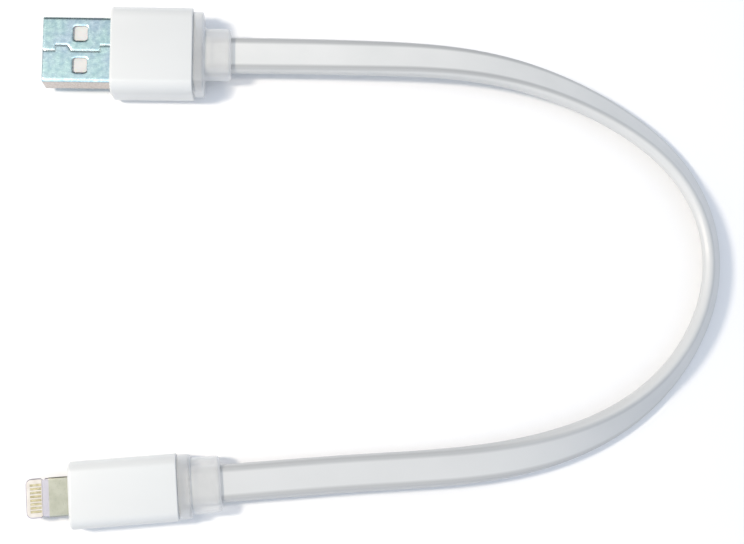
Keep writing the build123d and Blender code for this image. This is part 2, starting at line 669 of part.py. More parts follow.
with BuildPart() as phone_sleeve:
    phone_outline = (PHONE_SLEEVE_WIDTH, PHONE_SLEEVE_HEIGHT)
    front_rim, back_rim = PHONE_SLEEVE_RIMS
    bar(phone, TAB_REACH, phone_sleeve_end, phone_outline, PHONE_SLEEVE_CORNER)
    fillet(phone_sleeve.faces().sort_by(phone_axis)[0].outer_wire().edges(), front_rim)
    fillet(phone_sleeve.faces().sort_by(phone_axis)[-1].outer_wire().edges(), back_rim)
    bar(phone, TAB_REACH, phone_sleeve_end, tab_opening, TAB_CORNER, mode=Mode.SUBTRACT)
    bar(
        phone,
        phone_cavity_start,
        phone_sleeve_end,
        phone_cavity,
        phone_cavity_corner,
        mode=Mode.SUBTRACT,
    )
save(phone_sleeve, "phone_sleeve")

with BuildPart() as phone_strain_relief:
    phone_neck = (PHONE_NECK_WIDTH, PHONE_NECK_HEIGHT)
    phone_collar = (PHONE_COLLAR_WIDTH, PHONE_COLLAR_HEIGHT)
    collar_start = phone_sleeve_end + CLEARANCE
    bar(phone, phone_collar_end - neck_root, phone_end, phone_neck, PHONE_NECK_CORNER)
    fillet(phone_strain_relief.faces().sort_by(phone_axis)[-1].edges(), PHONE_NECK_ROUNDING)
    bar(phone, collar_start, phone_collar_end, phone_collar, PHONE_COLLAR_CORNER)
    bar(phone, PHONE_SPIGOT_START, collar_start, phone_core, phone_cavity_corner)
    room_end = phone_end - JACKET_GRIP - CLEARANCE
    bar(phone, PHONE_SPIGOT_START, room_end, PHONE_WIRE_ROOM, ROOM_CORNER, mode=Mode.SUBTRACT)
    bar(phone, room_end, phone_end, ribbon_pocket, RIBBON_CORNER, mode=Mode.SUBTRACT)
save(phone_strain_relief, "phone_strain_relief")
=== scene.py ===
import json
from math import cos, pi, radians, sin

import bmesh
import bpy
import numpy as np
from mathutils import Matrix, Vector

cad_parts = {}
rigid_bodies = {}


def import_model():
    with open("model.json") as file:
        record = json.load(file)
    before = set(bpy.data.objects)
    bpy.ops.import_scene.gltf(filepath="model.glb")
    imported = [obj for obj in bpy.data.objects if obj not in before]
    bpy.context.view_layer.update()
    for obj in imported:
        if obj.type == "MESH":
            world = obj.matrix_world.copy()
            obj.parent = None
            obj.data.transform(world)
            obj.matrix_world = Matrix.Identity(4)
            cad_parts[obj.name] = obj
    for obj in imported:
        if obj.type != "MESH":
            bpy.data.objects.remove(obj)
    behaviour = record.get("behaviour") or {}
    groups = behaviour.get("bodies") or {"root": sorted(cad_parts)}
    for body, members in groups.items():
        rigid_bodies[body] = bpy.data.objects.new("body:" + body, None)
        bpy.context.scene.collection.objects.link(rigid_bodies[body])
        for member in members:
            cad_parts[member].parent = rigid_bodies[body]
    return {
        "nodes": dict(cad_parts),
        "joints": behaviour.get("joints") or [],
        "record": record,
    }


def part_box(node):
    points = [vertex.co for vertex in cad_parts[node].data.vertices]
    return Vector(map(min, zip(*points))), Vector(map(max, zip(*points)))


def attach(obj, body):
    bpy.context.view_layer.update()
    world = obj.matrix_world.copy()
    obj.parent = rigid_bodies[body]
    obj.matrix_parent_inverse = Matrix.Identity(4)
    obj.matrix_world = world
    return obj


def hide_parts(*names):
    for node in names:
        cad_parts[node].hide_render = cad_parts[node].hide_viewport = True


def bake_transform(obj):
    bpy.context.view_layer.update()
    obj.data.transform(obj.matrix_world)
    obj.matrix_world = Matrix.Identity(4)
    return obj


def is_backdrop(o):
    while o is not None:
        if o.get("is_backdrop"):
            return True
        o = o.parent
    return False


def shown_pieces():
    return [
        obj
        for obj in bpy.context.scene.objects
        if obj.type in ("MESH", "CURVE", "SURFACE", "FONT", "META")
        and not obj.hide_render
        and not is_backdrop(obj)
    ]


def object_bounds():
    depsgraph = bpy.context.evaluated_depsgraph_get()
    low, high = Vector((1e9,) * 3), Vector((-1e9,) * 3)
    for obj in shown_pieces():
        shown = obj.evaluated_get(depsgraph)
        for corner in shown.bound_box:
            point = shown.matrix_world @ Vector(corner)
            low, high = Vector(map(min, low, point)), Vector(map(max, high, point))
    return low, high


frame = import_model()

MM = 0.001

for spare in ("Cube", "Light", "Camera"):
    if spare in bpy.data.objects:
        bpy.data.objects.remove(bpy.data.objects[spare])
cad_low, cad_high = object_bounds()

# ---------------------------------------------------------------- places from the frame

MOUNTS = {mount["name"]: mount for mount in frame["record"]["mounts"]}
UP = Vector((0, 0, 1))
TABLE = cad_low.z / MM


def plug_frame(mount):
    """Matrix from millimetres along, beside and above a plug's axis to the frame."""
    along = -Vector(mount["axis"]).normalized()
    beside = UP.cross(along).normalized()
    above = along.cross(beside)
    turn = Matrix((along, beside, above)).transposed().to_4x4()
    return Matrix.Translation(Vector(mount["pos_m"])) @ turn @ Matrix.Scale(MM, 4)


USB = plug_frame(MOUNTS["usb_plug_in"])
PHONE = plug_frame(MOUNTS["phone_plug_in"])
ALONG = Vector((1, 0, 0))
AXIS = (PHONE.to_3x3() @ ALONG).normalized()
USB_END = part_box("usb_strain_relief")[1].x / MM  # end of each strain relief, along its plug
PHONE_END = 33.0
LIP_END = 3.8 + PHONE.translation.dot(AXIS) / MM  # back of the phone tab's recessed lip
LEAD = 10.0  # straight cable outside each strain relief

# ---------------------------------------------------------------- centreline of the ribbon

RIBBON = (6.5, 2.2, 0.9)  # width, thickness, corner
TUNNEL = (4.9, 1.12, 0.54)
WIRE_SIDES = (-1.8, -0.6, 0.6, 1.8)
WIRE_RADIUS = 0.48
CONDUCTOR_RADIUS = 0.24
WIRE_POINTS, CONDUCTOR_POINTS = 14, 10  # round each wire and conductor
GRIP = 5.0  # ribbon held inside each strain relief
PAST_GRIP = 1.0  # centreline kept beyond the ribbon's own end
STUB = 0.6  # wires standing out of the jacket's two ends
LEAN = radians(62.0)  # ribbon's tilt where it stands most on edge
LEAN_START, LEAN_PEAK, LEAN_FINISH = 2.0, 119.0, 180.0  # distances along the ribbon
STEPS_PER_GAP = 60  # centreline's points from one hinge to the next
HEADING_REACH = 0.6  # on each side of a place, for the ribbon's heading there
JACKET_STEP, STRAND_STEP = 0.6, 1.0  # lengthwise spacing of the jacket's and the wires' rings
JACKET_CORNER_STEPS = 10


def smoothstep(t):
    t = min(max(t, 0.0), 1.0)
    return t * t * (3 - 2 * t)


def hermite(a, b, slope_a, slope_b, t):
    """Point on the cubic from a to b that leaves along slope_a and arrives along slope_b."""
    rise = t * t * (3 - 2 * t)
    return (
        a * (1 - rise)
        + b * rise
        + slope_a * (t * (1 - t) ** 2)
        + slope_b * (t * t * (t - 1))
    )


def smooth_slopes(knots, first, last):
    """Slopes of the smooth cubic through the knots, with given end slopes."""
    gaps = np.linalg.norm(np.diff(knots, axis=0), axis=1)
    count = len(knots)
    system = np.eye(count)
    right = np.zeros((count, 3))
    right[0], right[-1] = first, last
    for k in range(1, count - 1):
        before, after = gaps[k - 1], gaps[k]
        system[k, k - 1 : k + 2] = (after, 2 * (before + after), before)
        rise = after * (knots[k] - knots[k - 1]) / before
        rise += before * (knots[k + 1] - knots[k]) / after
        right[k] = 3 * rise
    return np.linalg.solve(system, right), gaps


def ribbon_centreline():
    """Finely spaced points along the ribbon's centre, in millimetres, and their distances."""
    hinges = [Vector(joint["pos_m"]) / MM for joint in frame["joints"]]
    usb_end = (USB @ Vector((USB_END, 0, 0))) / MM
    phone_end = (PHONE @ Vector((PHONE_END, 0, 0))) / MM
    usb_lead = usb_end + ALONG * LEAD
    phone_lead = phone_end + AXIS * LEAD
    knots = np.array([usb_lead, *hinges[1:-1], phone_lead], float)
    slopes, gaps = smooth_slopes(knots, np.array(ALONG), -np.array(AXIS))
    line = [usb_end - ALONG * (GRIP + PAST_GRIP), usb_end]
    for k, gap in enumerate(gaps):
        ends = (knots[k], knots[k + 1], slopes[k] * gap, slopes[k + 1] * gap)
        line += [hermite(*ends, step / STEPS_PER_GAP) for step in range(STEPS_PER_GAP)]
    line += [phone_lead, phone_end, phone_end - AXIS * (GRIP + PAST_GRIP)]
    line = np.array([tuple(point) for point in line], float)
    runs = np.linalg.norm(np.diff(line, axis=0), axis=1)
    distances = np.concatenate([[0], np.cumsum(runs)]) - (GRIP + PAST_GRIP)
    return line, distances


LINE, DISTANCES = ribbon_centreline()
LENGTH = DISTANCES[-1] - GRIP - PAST_GRIP


def line_at(distance):
    return Vector([np.interp(distance, DISTANCES, LINE[:, axis]) for axis in range(3)])


def heading_at(distance):
    ahead, behind = line_at(distance + HEADING_REACH), line_at(distance - HEADING_REACH)
    return (ahead - behind).normalized()


def ribbon_frame(distance):
    """Matrix from millimetres across, through and along the ribbon to the frame."""
    heading = heading_at(distance)
    inward = heading.cross(UP).normalized()
    upward = inward.cross(heading)
    rise = smoothstep((distance - LEAN_START) / (LEAN_PEAK - LEAN_START))
    fall = smoothstep((LEAN_FINISH - distance) / (LEAN_FINISH - LEAN_PEAK))
    lean = LEAN * rise * fall
    across = inward * cos(lean) + upward * sin(lean)
    through = heading.cross(across)
    turn = Matrix((across, through, heading)).transposed().to_4x4()
    return Matrix.Translation(line_at(distance) * MM) @ turn @ Matrix.Scale(MM, 4)


def joint_distance(joint):
    """Distance along the ribbon of the joint's place."""
    place = Vector(joint["pos_m"]) / MM
    gaps = np.linalg.norm(LINE - np.array(place), axis=1)
    near = int(gaps.argmin())
    fine = np.linspace(DISTANCES[near - 1], DISTANCES[near + 1], 81)
    return min(fine, key=lambda distance: (line_at(distance) - place).length)


# ---------------------------------------------------------------- node materials


class Graph:
    """Short ways to make and link the nodes of one tree."""

    def __init__(self, tree):
        self.tree = tree

    def feed(self, socket, value):
        if isinstance(value, bpy.types.NodeSocket):
            self.tree.links.new(value, socket)
        elif isinstance(value, tuple) and len(value) == 3 and socket.type == "RGBA":
            socket.default_value = (*value, 1)
        else:
            socket.default_value = value

    def node(self, kind, output=0, settings=None, **inputs):
        made = self.tree.nodes.new("ShaderNode" + kind)
        for key, value in (settings or {}).items():
            setattr(made, key, value)
        for key, value in inputs.items():
            place = int(key[1:]) if key[1:].isdigit() else key.replace("_", " ")
            self.feed(made.inputs[place], value)
        return made.outputs[output]

    def math(self, operation, a, b=0.0, clamp=False):
        settings = {"operation": operation, "use_clamp": clamp}
        return self.node("Math", 0, settings, i0=a, i1=b)

    def place(self):
        return self.node("TexCoord", "Object")

    def noise(self, size, detail=3.0, stretch=(1, 1, 1), where=None, rough=0.5):
        """Noise with features about size millimetres across, from 0 to 1."""
        scale = tuple(part / (size * MM) for part in stretch)
        settings = {"operation": "MULTIPLY"}
        spot = self.node("VectorMath", 0, settings, i0=where or self.place(), i1=scale)
        return self.node("TexNoise", 0, None, Vector=spot, Scale=1.0, Detail=detail, Roughness=rough)

    def span(self, value, low, high, start=0.0, finish=1.0):
        return self.node("MapRange", 0, None, i0=value, i1=low, i2=high, i3=start, i4=finish)

    def mix(self, share, a, b, how="MIX"):
        settings = {"data_type": "RGBA", "blend_type": how}
        return self.node("Mix", 2, settings, i0=share, i6=a, i7=b)

    def bump(self, height, depth, normal=None, strength=1.0):
        inputs = {"Height": height, "Distance": depth * MM, "Strength": strength}
        if normal is not None:
            inputs["Normal"] = normal
        return self.node("Bump", 0, None, **inputs)

    def edges(self, radius):
        """Share of a sharp edge within radius millimetres, from 0 to 1."""
        soft = self.node("Bevel", 0, {"samples": 4}, Radius=radius * MM)
        hard = self.node("NewGeometry", "Normal")
        same = self.node("VectorMath", "Value", {"operation": "DOT_PRODUCT"}, i0=soft, i1=hard)
        return self.span(same, 1.0, 0.8)


class Finish(Graph):
    """A node material with a Principled shader."""

    def __init__(self, name, **values):
        self.material = bpy.data.materials.new(name)
        self.material.use_nodes = True
        super().__init__(self.material.node_tree)
        self.shader = self.tree.nodes["Principled BSDF"]
        for key, value in values.items():
            self.set(key.replace("_", " "), value)

    def set(self, key, value):
        names = {name.lower(): name for name in self.shader.inputs.keys()}
        self.feed(self.shader.inputs[names[key.lower()]], value)


def surface(
    name,
    colour,
    deep,
    rough,
    cloud=4.0,
    grain=0.12,
    relief=0.002,
    wear=None,
    stretch=(1, 1, 1),
    **values,
):
    """Shared surface: cloudy colour, a grain in roughness and relief, and worn edges."""
    made = Finish(name, **values)
    clouds = made.noise(cloud, 4.0, stretch)
    tint = made.mix(made.span(clouds, 0.35, 0.65), deep, colour)
    fine = made.noise(grain, 2.0, stretch)
    level = made.span(made.noise(cloud / 3, 3.0), 0.3, 0.7, rough - 0.08, rough + 0.08)
    if wear is not None:
        lightened = made.math("MULTIPLY", made.edges(0.12), made.span(clouds, 0.3, 0.6), True)
        tint = made.mix(made.math("MULTIPLY", lightened, 0.6), tint, wear)
        level = made.math("ADD", level, made.math("MULTIPLY", lightened, 0.08))
    made.set("Base Color", tint)
    made.set("Roughness", level)
    made.set("Normal", made.bump(fine, relief))
    return made.material


def glossy_plastic():
    """White moulded sleeves: faint flow marks, handling smudges and a very fine skin."""
    made = Finish("glossy_white_plastic", Coat_Weight=0.2, Coat_Roughness=0.2, IOR=1.5)
    flow = made.noise(9.0, 3.0, (0.35, 1, 1))
    tint = made.mix(made.span(flow, 0.3, 0.7), (0.66, 0.667, 0.65), (0.685, 0.692, 0.675))
    # Painted highlight: the sleeves' sharp rims are lightened towards a pale grey.
    rim = made.edges(0.16)
    tint = made.mix(made.math("MULTIPLY", rim, 0.3), tint, (0.86, 0.86, 0.86))
    smudge = made.noise(3.5, 2.0)
    made.set("Base Color", tint)
    made.set("Roughness", made.span(smudge, 0.1, 0.9, 0.28, 0.34))
    made.set("Normal", made.bump(made.noise(0.7, 2.0), 0.0008))
    return made.material


def steel_shell():
    """Plated pressed sheet: blue-green mottling, rolled-over edges, painted reflections and
    highlights.
    """
    made = Finish("plated_shell_steel", Metallic=1.0)
    mottle = made.noise(0.8, 6.0, rough=0.68)
    broad = made.noise(3.2, 2.0)
    cool = made.mix(made.span(mottle, 0.38, 0.62), (0.385, 0.51, 0.53), (0.65, 0.77, 0.73))
    shift = made.mix(made.span(broad, 0.35, 0.65), (0.90, 0.90, 1.0), (0.90, 1.0, 0.96))
    top = made.mix(0.8, cool, shift, "MULTIPLY")
    # Painted reflection: walls facing sideways take a beige tint for the pale table, and the
    # roundings a dark band.
    upright = made.node("SeparateXYZ", 2, None, i0=made.node("NewGeometry", "Normal"))
    tilt = made.math("ABSOLUTE", upright)
    wall = made.mix(made.span(tilt, 0.1, 0.3), (0.51, 0.455, 0.425), (0.28, 0.30, 0.31))
    tint = made.mix(made.span(tilt, 0.3, 0.5), wall, top)
    scratch = made.noise(0.05, 3.0, (0.04, 1, 1))
    lines = made.span(scratch, 0.58, 0.66)
    # Painted highlight: the sheet's sharp edges are lightened to a pale cyan.
    lightened = made.edges(0.1)
    tint = made.mix(made.math("MULTIPLY", lightened, 0.35), tint, (0.80, 0.90, 0.90))
    level = made.span(mottle, 0.3, 0.7, 0.34, 0.2)
    made.set("Base Color", tint)
    made.set("Roughness", made.math("ADD", level, made.math("MULTIPLY", lines, 0.12)))
    rolled = made.node("Bevel", 0, {"samples": 8}, Radius=0.6 * MM)
    pitted = made.bump(mottle, 0.02, rolled)
    made.set("Normal", made.bump(lines, 0.002, pitted, 0.5))
    return made.material


def tab_steel():
    """Satin plated steel of the phone tab: warm grey with a fine brushed grain across it."""
    made = Finish("satin_tab_steel", Metallic=1.0)
    brush = made.noise(0.05, 3.0, (1, 0.06, 1))
    cloud = made.noise(1.6, 3.0)
    tint = made.mix(made.span(cloud, 0.35, 0.65), (0.26, 0.26, 0.206), (0.295, 0.293, 0.237))
    dot = {"operation": "DOT_PRODUCT"}
    reach = made.node("VectorMath", "Value", dot, i0=made.place(), i1=tuple(AXIS))
    lip = made.span(reach, LIP_END * MM, (LIP_END + 0.12) * MM, 1.0, 0.0)
    tint = made.mix(made.math("MULTIPLY", lip, 0.8), tint, (0.33, 0.31, 0.35))
    # Painted reflection: the tab's rounded edges are tinted a lighter lilac grey.
    tint = made.mix(made.math("MULTIPLY", made.edges(0.25), 0.7), tint, (0.36, 0.33, 0.36))
    made.set("Base Color", tint)
    made.set("Roughness", made.span(brush, 0.3, 0.7, 0.26, 0.4))
    made.set("Normal", made.bump(brush, 0.002))
    return made.material


def tip_plastic():
    """Cream contact insert of the phone tab, with painted shade and a metallic lilac on its sides.
    """
    made = Finish("cream_tip_plastic", IOR=1.5)
    cloud = made.noise(1.2, 4.0)
    face = made.mix(made.span(cloud, 0.35, 0.65), (0.62, 0.57, 0.50), (0.70, 0.66, 0.60))
    # Painted shade on faces turned away from straight up, which also stand in for the steel round
    # the insert.
    upright = made.node("SeparateXYZ", 2, None, i0=made.node("NewGeometry", "Normal"))
    wall = made.span(made.math("ABSOLUTE", upright), 0.985, 0.9)
    made.set("Base Color", made.mix(wall, face, (0.36, 0.33, 0.38)))
    made.set("Metallic", made.math("MULTIPLY", wall, 0.8))
    made.set("Roughness", made.span(made.noise(0.4, 3.0), 0.3, 0.7, 0.34, 0.46))
    made.set("Normal", made.bump(made.noise(0.3, 2.0), 0.001))
    return made.material


def contact_gold():
    """Gold plating with rubbed streaks in its roughness and a painted highlight on its sharp edges.
    """
    made = Finish("plated_contact_gold", Metallic=1.0)
    rub = made.noise(0.12, 3.0, (0.15, 1, 1))
    cloud = made.noise(0.6, 3.0)
    tint = made.mix(made.span(cloud, 0.35, 0.65), (0.295, 0.255, 0.145), (0.40, 0.36, 0.235))
    # Painted highlight: the contacts' sharp edges are lightened to a pale gold.
    tint = made.mix(made.math("MULTIPLY", made.edges(0.04), 0.4), tint, (0.78, 0.72, 0.5))
    made.set("Base Color", tint)
    made.set("Roughness", made.span(rub, 0.35, 0.65, 0.2, 0.38))
    made.set("Normal", made.bump(rub, 0.001))
    return made.material


def clear_rubber():
    """Milky clear strain reliefs, through which the ribbon's end shows softly."""
    made = Finish("milky_relief_rubber", IOR=1.45, Coat_Weight=0.2, Coat_Roughness=0.25)
    haze = made.noise(3.0, 4.0)
    tint = made.mix(made.span(haze, 0.3, 0.7), (0.84, 0.84, 0.83), (0.92, 0.92, 0.90))
    made.set("Base Color", tint)
    grazing = made.node("LayerWeight", "Facing", None, Blend=0.5)
    made.set("Alpha", made.math("ADD", 0.32, made.math("MULTIPLY", grazing, 0.5), True))
    made.set("Roughness", made.span(made.noise(0.8, 3.0), 0.3, 0.7, 0.28, 0.42))
    made.set("Normal", made.bump(made.noise(0.6, 2.0), 0.004))
    return made.material


def ribbon_rubber():
    """Grey-white ribbon jacket: painted shade on edges and towards the phone end, drawn lines, satin
    skin.
    """
    made = Finish("grey_white_ribbon_rubber", Coat_Weight=0.12, Coat_Roughness=0.3, IOR=1.45)
    along = made.node("Attribute", "Fac", {"attribute_name": "along"})
    across = made.node("Attribute", "Fac", {"attribute_name": "across"})
    where = made.node("CombineXYZ", 0, None, X=along, Y=across)
    cloud = made.noise(11.0, 3.0, (1, 1.6, 1), where)
    face = made.mix(made.span(cloud, 0.3, 0.7), (0.655, 0.66, 0.64), (0.70, 0.70, 0.68))
    # Painted shade: a darker band along each edge beyond the outer wires, paler at the very edge and
    # fainter mid-way, where the ribbon stands on edge.
    side = made.math("ABSOLUTE", across)
    inner = made.span(side, 1.75 * MM, 2.25 * MM)
    outer = made.span(side, 3.05 * MM, 2.75 * MM, 0.35, 1.0)
    clear = made.math("MULTIPLY", inner, outer, True)
    middle = made.math("ABSOLUTE", made.math("SUBTRACT", along, LENGTH / 2 * MM))
    clear = made.math("MULTIPLY", clear, made.span(middle, 20 * MM, 60 * MM, 0.3, 1.0), True)
    # Painted shade: the face darkens from 75 mm along towards the phone plug.
    shade_towards_phone = made.span(along, 75 * MM, 165 * MM, 0.0, 0.55)
    face = made.mix(shade_towards_phone, face, (0.53, 0.535, 0.53))
    tint = made.mix(clear, face, (0.42, 0.425, 0.42))
    drawn = made.noise(0.35, 2.0, (0.02, 1, 1), where)
    made.set("Base Color", tint)
    made.set("Roughness", made.span(made.noise(3.0, 4.0, where=where), 0.3, 0.7, 0.36, 0.48))
    skin = made.bump(made.noise(0.8, 2.0), 0.003)
    made.set("Normal", made.bump(drawn, 0.004, skin))
    return made.material


def make_materials():
    """One material for every slot of the record."""
    ivory = surface(
        "ivory_carrier_plastic", (0.69, 0.68, 0.65), (0.64, 0.63, 0.60), 0.42, 2.0, 0.1, 0.002,
        wear=(0.88, 0.87, 0.84), Subsurface_Weight=0.15, Subsurface_Scale=0.0004,
    )
    mould = surface(
        "moulded_core_plastic", (0.62, 0.62, 0.60), (0.53, 0.53, 0.52), 0.5, 3.0, 0.2, 0.006,
        wear=(0.7, 0.7, 0.68),
    )
    can = surface(
        "drawn_can_steel", (0.60, 0.61, 0.62), (0.50, 0.51, 0.52), 0.34, 2.0, 0.06, 0.002,
        wear=(0.8, 0.8, 0.8), stretch=(0.1, 1, 1), Metallic=1.0,
    )
    solder = surface(
        "reflowed_solder", (0.72, 0.73, 0.74), (0.55, 0.56, 0.58), 0.28, 0.5, 0.12, 0.01,
        wear=(0.8, 0.8, 0.82), Metallic=1.0,
    )
    wires = surface(
        "wire_insulation_vinyl", (0.74, 0.73, 0.70), (0.64, 0.63, 0.61), 0.45, 5.0, 0.1, 0.003,
        Subsurface_Weight=0.1, Subsurface_Scale=0.0004,
    )
    copper = surface(
        "tinned_copper_strand", (0.80, 0.44, 0.26), (0.62, 0.30, 0.17), 0.33, 1.0, 0.08, 0.01,
        Metallic=1.0,
    )
    board = surface(
        "green_board_laminate", (0.05, 0.20, 0.11), (0.03, 0.13, 0.08), 0.38, 1.5, 0.25, 0.004,
        wear=(0.45, 0.42, 0.25),
    )
    chip = surface(
        "black_chip_epoxy", (0.035, 0.035, 0.037), (0.02, 0.02, 0.022), 0.55, 1.0, 0.05, 0.003,
        wear=(0.12, 0.12, 0.12),
    )
    ceramic = surface(
        "tan_capacitor_ceramic", (0.42, 0.30, 0.19), (0.33, 0.23, 0.14), 0.45, 0.6, 0.06, 0.003,
        wear=(0.7, 0.7, 0.7),
    )
    return {
        "shell_steel": steel_shell(),
        "tab_steel": tab_steel(),
        "tip_plastic": tip_plastic(),
        "can_steel": can,
        "carrier_plastic": ivory,
        "contact_gold": contact_gold(),
        "solder": solder,
        "mould_plastic": mould,
        "sleeve_plastic": glossy_plastic(),
        "relief_rubber": clear_rubber(),
        "jacket_rubber": ribbon_rubber(),
        "wire_insulation": wires,
        "copper": copper,
        "board_laminate": board,
        "chip_black": chip,
        "capacitor_ceramic": ceramic,
    }


MATERIALS = make_materials()
for node in frame["nodes"].values():
    for place in node.material_slots:
        place.material = MATERIALS[place.material.name]
for place in frame["nodes"]["phone_contact_insert"].material_slots:
    place.material = MATERIALS["tip_plastic"]

# ---------------------------------------------------------------- mesh helpers


def outline(width, height, corner, steps):
    """Points (across, up) of a rounded rectangle, anticlockwise."""
    points = []
    for quarter in range(4):
        side = 1 if quarter in (0, 3) else -1
        top = 1 if quarter in (0, 1) else -1
        for k in range(steps + 1):
            turn = pi / 2 * (quarter + k / steps)
            across = side * (width / 2 - corner) + corner * cos(turn)
            points.append((across, top * (height / 2 - corner) + corner * sin(turn)))
    return points


def skin(bm, rings, joined=False):
    """Quads between neighbouring rings of points; joined also closes last to first."""
    rows = [[bm.verts.new(point) for point in ring] for ring in rings]
    after = rows[1:] + rows[:1] if joined else rows[1:]
    for row, following in zip(rows, after):
        for k in range(len(row)):
            j = (k + 1) % len(row)
            bm.faces.new((row[k], row[j], following[j], following[k]))
    return rows


def piece(name, bm, slot, sharp=32.0, material=None):
    """Object from a bmesh, smooth except across sharp edges, with its slot's material."""
    bmesh.ops.recalc_face_normals(bm, faces=bm.faces)
    for face in bm.faces:
        face.smooth = True
    for edge in bm.edges:
        edge.smooth = len(edge.link_faces) == 2 and edge.calc_face_angle(0) < radians(sharp)
    mesh = bpy.data.meshes.new(name)
    bm.to_mesh(mesh)
    bm.free()
    made = bpy.data.objects.new(name, mesh)
    bpy.context.collection.objects.link(made)
    mesh.materials.append(MATERIALS[material or slot])
    return made


def plug_rings(plug, stations, steps):
    """Rings across a plug from (distance, width, height, corner) stations."""
    rings = []
    for distance, width, height, corner in stations:
        points = outline(width, height, max(corner, 0.02), steps)
        rings.append([plug @ Vector((distance, across, up)) for across, up in points])
    return rings


def grown(size, by):
    width, height, corner = size
    return width + 2 * by, height + 2 * by, corner + by


def rounding(edge, size, radius, outward, steps):
    """Stations round an outer edge: outward 1 ends at the outline, -1 starts from it."""
    stations = []
    for k in range(steps + 1):
        turn = pi / 2 * k / steps
        if outward > 0:
            inset, shift = radius * (1 - sin(turn)), radius * (1 - cos(turn))
        else:
            inset, shift = radius * (1 - cos(turn)), -radius * (1 - sin(turn))
        stations.append((edge + shift, *grown(size, -inset)))
    return stations


# ---------------------------------------------------------------- sleeves and strain reliefs


def sleeve(name, node, plug, body, ends, outer, opening, wall, radii):
    """Hollow moulded sleeve: a front wall with the plug's opening and an open back.

    Distances run along the plug, outlines are (width, height, corner) and radii round the rims.
    """
    start, end = ends
    cavity = grown(outer, -wall)
    lip = 0.1
    stations = [(start + wall, *opening), (start + lip, *opening), (start, *grown(opening, lip))]
    stations += rounding(start, outer, radii[0], 1, 8)
    stations += rounding(end, outer, radii[1], -1, 5)
    stations += [(end, *grown(cavity, lip)), (end - lip, *cavity), (start + wall, *cavity)]
    bm = bmesh.new()
    skin(bm, plug_rings(plug, stations, 10), joined=True)
    made = piece(name, bm, "sleeve_plastic")
    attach(made, body)
    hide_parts(node)


sleeve(
    "usb_white_sleeve", "usb_sleeve", USB, "usb_plug",
    ends=(12.0, 26.5), outer=(16.1, 7.9, 2.4), opening=(12.06, 4.56, 0.5),
    wall=1.0, radii=(0.5, 0.25),
)
sleeve(
    "phone_white_sleeve", "phone_sleeve", PHONE, "phone_plug",
    ends=(7.35, 25.7), outer=(11.5, 5.8, 2.0), opening=(6.76, 1.56, 0.3),
    wall=0.8, radii=(0.6, 0.25),
)


def strain_relief(name, node, plug, body, places, spigot, collar, neck, room):
    """Milky relief: a spigot in the sleeve, a collar behind it and a neck round the ribbon.

    Places are where the spigot and the collar start and the collar and the neck end.
    """
    spigot_start, collar_start, collar_end, neck_end = places
    pocket = grown(RIBBON, 0.03)
    room_end = neck_end - GRIP
    root, root_steps = 0.45, 4  # rounded corner where the neck leaves the collar
    stations = [(spigot_start, *room), (spigot_start, *spigot), (collar_start, *spigot)]
    stations += rounding(collar_start, collar, 0.15, 1, 3)
    stations += rounding(collar_end, collar, 0.4, -1, 5)
    for k in range(root_steps + 1):
        turn = pi / 2 * k / root_steps
        stations.append(
            (collar_end + root * (1 - cos(turn)), *grown(neck, root * (1 - sin(turn))))
        )
    stations += rounding(neck_end, neck, 0.7, -1, 7)
    stations += [(neck_end, *grown(pocket, 0.12)), (neck_end - 0.15, *pocket)]
    stations += [(room_end, *pocket), (room_end, *room)]
    bm = bmesh.new()
    skin(bm, plug_rings(plug, stations, 8), joined=True)
    made = piece(name, bm, "relief_rubber")
    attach(made, body)
    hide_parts(node)


strain_relief(
    "usb_milky_strain_relief", "usb_strain_relief", USB, "usb_plug",
    places=(25.63, 26.53, 28.4, 33.2), spigot=(14.04, 5.84, 1.4), collar=(14.9, 7.0, 2.1),
    neck=(9.0, 5.2, 1.6), room=(9.0, 2.4, 0.5),
)
strain_relief(
    "phone_milky_strain_relief", "phone_strain_relief", PHONE, "phone_plug",
    places=(22.0, 25.73, 27.9, PHONE_END), spigot=(9.84, 4.14, 1.2), collar=(11.0, 5.2, 1.8),
    neck=(9.7, 4.4, 1.4), room=(6.2, 2.2, 0.5),
)

# ---------------------------------------------------------------- sheet metal

RIM = 0.04  # rounding of the sheet's cut edges
RIM_SEGMENTS = 3
SHARP_EDGE = radians(50.0)  # edges turning more than this are rounded
FLAT_EDGE = radians(0.6)  # edges turning less than this are dissolved
SAME_POINT = 0.002  # points nearer than this are merged


def refined(name, node, body, slot, material=None, wider=()):
    """A CAD node's shape with its sharp edges rounded, some first by their own wider rims."""
    source = frame["nodes"][node]
    bm = bmesh.new()
    bm.from_mesh(source.data)
    bmesh.ops.remove_doubles(bm, verts=bm.verts, dist=SAME_POINT * MM)
    bmesh.ops.dissolve_limit(
        bm, angle_limit=FLAT_EDGE, verts=bm.verts, edges=bm.edges, use_dissolve_boundaries=False
    )
    for width, chosen in [*wider, (RIM, lambda edge: True)]:
        edges = [
            edge
            for edge in bm.edges
            if len(edge.link_faces) == 2
            and edge.calc_face_angle(0) > SHARP_EDGE
            and chosen(edge)
        ]
        bmesh.ops.bevel(
            bm, geom=edges, offset=width * MM, segments=RIM_SEGMENTS, profile=0.5,
            affect="EDGES", clamp_overlap=True,
        )
    made = piece(name, bm, slot, sharp=40.0, material=material)
    even = made.modifiers.new("even_flats", "WEIGHTED_NORMAL")
    even.keep_sharp = True
    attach(made, body)
    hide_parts(node)


